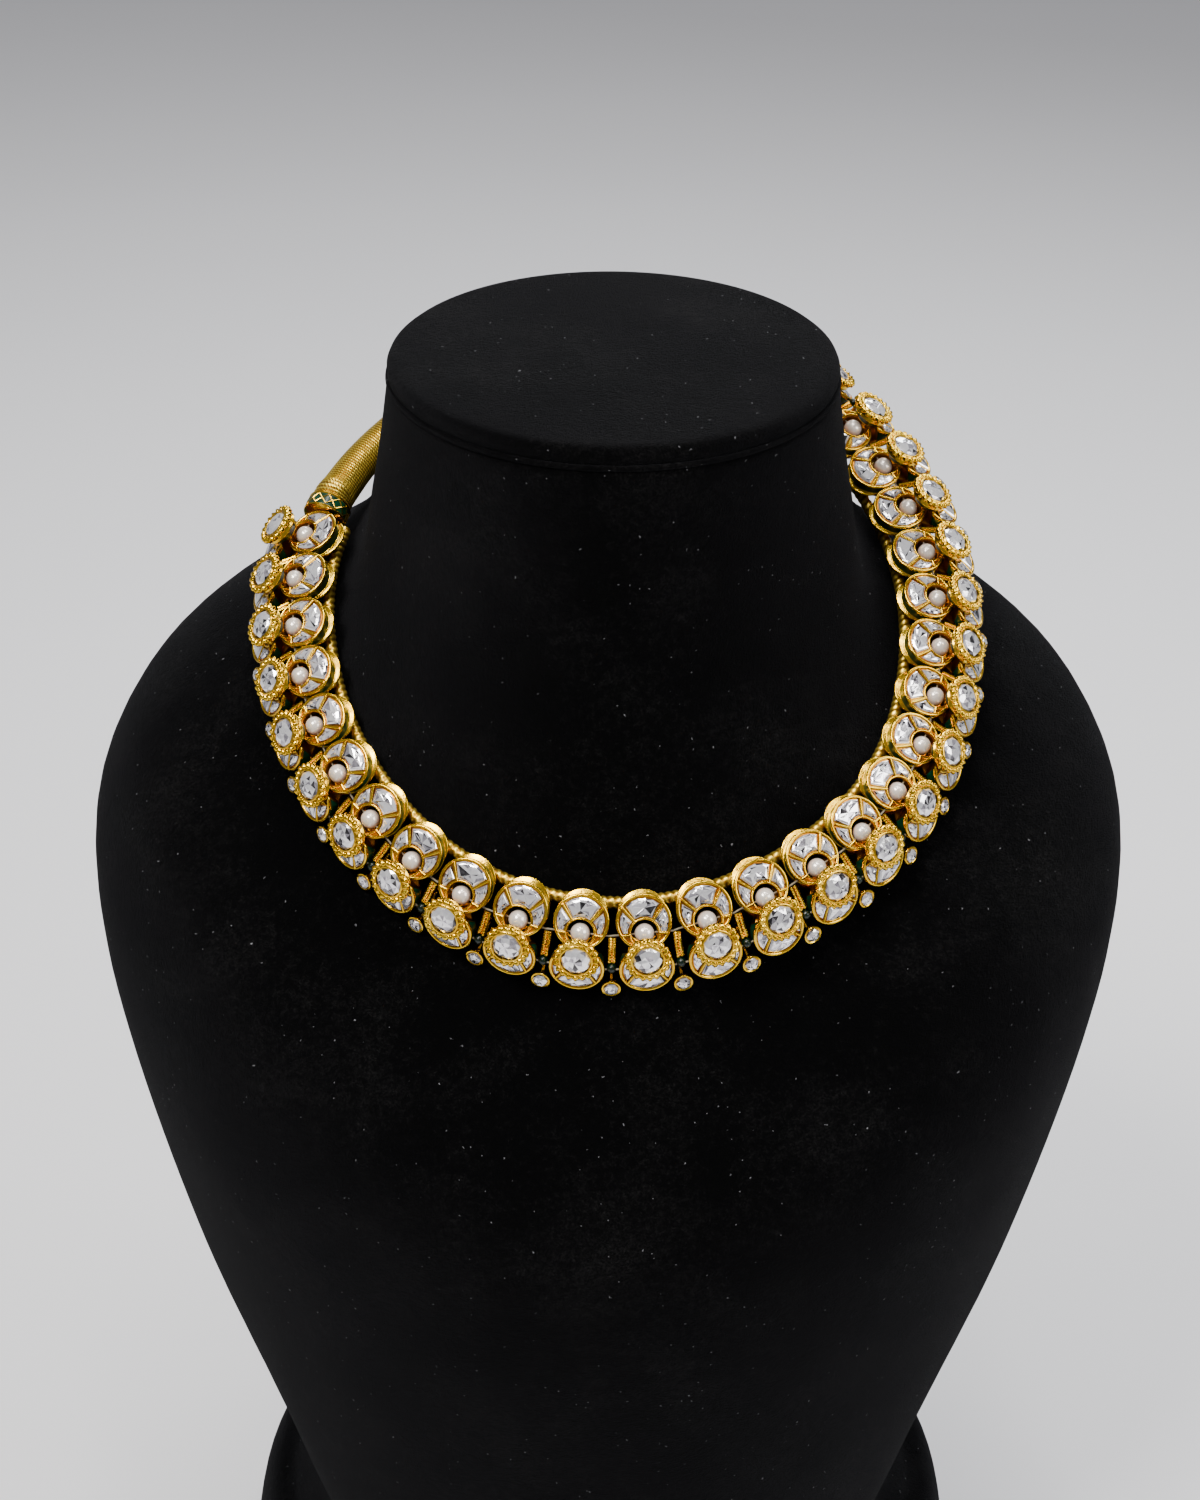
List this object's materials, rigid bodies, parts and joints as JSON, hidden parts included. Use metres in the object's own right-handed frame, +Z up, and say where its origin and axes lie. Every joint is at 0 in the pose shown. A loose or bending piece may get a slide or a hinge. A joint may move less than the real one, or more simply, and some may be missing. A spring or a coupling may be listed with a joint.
{
  "type": "kundan necklace on a neck bust",
  "caption": "Kundan collar necklace of round gold settings with polki stones, pearls and raised studs, worn by a plain black velvet neck bust.",
  "frame": {"origin": "middle of the foot on the table, under the middle of the neck's top", "axes": "+Z up along the neck, -Y towards the front of the bust, +X to the right seen from the front"},
  "size_m": [0.264, 0.2155, 0.432],
  "materials": {
    "gold": "polished yellow gold",
    "polki": "clear cut stone on bright foil",
    "pearl": "pearl lustre",
    "thread": "waxed silk",
    "enamel": "glossy dark green enamel with gold lines",
    "wound_cord": "wound with gold thread",
    "velvet": "black velvet",
    "felt": "black felt"
  },
  "bodies": {
    "root": {"unit_01": "gold", "unit_02": "gold", "unit_03": "gold", "unit_04": "gold", "unit_05": "gold", "unit_06": "gold", "unit_07": "gold", "unit_08": "gold", "unit_09": "gold", "unit_10": "gold", "unit_11": "gold", "unit_12": "gold", "unit_13": "gold", "unit_14": "gold", "unit_15": "gold", "unit_16": "gold", "unit_17": "gold", "unit_18": "gold", "unit_19": "gold", "unit_20": "gold", "unit_21": "gold", "unit_22": "gold", "unit_23": "gold", "unit_24": "gold", "unit_25": "gold", "unit_26": "gold", "unit_27": "gold", "upper_stones": "polki", "stud_stones": "polki", "lower_stones": "polki", "pearls": "pearl", "pearl_thread": "thread", "spacers": "gold", "bead_thread": "thread", "neck_tube": "gold", "left_collar": "enamel", "right_collar": "enamel", "nape_cord": "wound_cord", "cord_slide": "gold", "bust_shell": "velvet", "neck_cap": "velvet", "foot_plate": "felt"}
  },
  "joints": []
}
